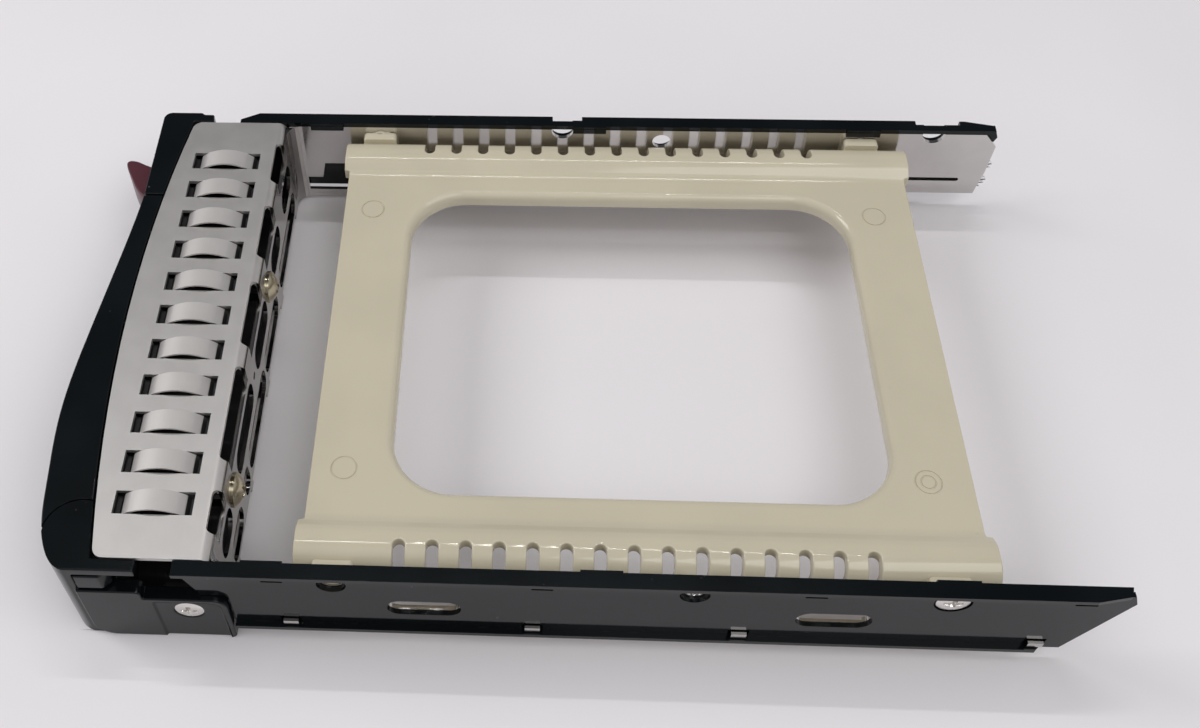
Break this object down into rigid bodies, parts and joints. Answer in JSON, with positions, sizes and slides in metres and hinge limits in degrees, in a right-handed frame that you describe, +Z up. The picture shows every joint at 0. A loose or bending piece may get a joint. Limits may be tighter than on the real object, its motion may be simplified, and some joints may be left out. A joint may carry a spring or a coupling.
{
  "type": "hot swap drive caddy",
  "caption": "Open hot swap tray for a drive, with slotted steel shield, black rails, swing-out front handle, sliding release button and a cream blank insert.",
  "frame": {"origin": "middle of the footprint of the bounding box, on the table", "axes": "+X from the front handle to the rear of the tray, +Y across to the side with the light pipes, +Z up"},
  "size_m": [0.1868, 0.1076, 0.0254],
  "materials": {
    "stainless_sheet": "brushed stainless sheet, mirror bright on the arms",
    "black_rail": "smooth black moulding",
    "black_bezel": "satin black moulding",
    "black_handle": "satin black moulding",
    "maroon_plastic": "satin maroon moulding",
    "steel_pin": "ground steel",
    "spring_wire": "bright spring wire",
    "clear_pipe": "clear moulded plastic",
    "nickel_screw": "nickel plated",
    "brass_screw": "yellow zinc plated, domed",
    "cream_plastic": "fine satin cream moulding"
  },
  "bodies": {
    "tray": {"tray_frame": "stainless_sheet", "left_rail": "black_rail", "right_rail": "black_rail", "front_bezel": "black_bezel", "lever_pin": "steel_pin", "lever_spring": "spring_wire", "button_spring": "spring_wire", "upper_light_pipe": "clear_pipe", "lower_light_pipe": "clear_pipe", "bezel_screws": "nickel_screw", "shield_screws": "brass_screw", "blank_screws": "nickel_screw", "drive_blank": "cream_plastic"},
    "handle": {"handle_lever": "black_handle"},
    "button": {"release_button": "maroon_plastic"}
  },
  "joints": [
    {"name": "handle_hinge", "type": "hinge", "parent": "tray", "child": "handle", "pos_m": [-0.0815, -0.0465, 0.012], "axis": [0, 0, 1], "range_deg": [0, 55]},
    {"name": "button_slide", "type": "slide", "parent": "tray", "child": "button", "axis": [0, 1, 0], "range_m": [0, 0.0025], "stiffness_N_per_m": 300, "deforming": ["button_spring"]}
  ]
}
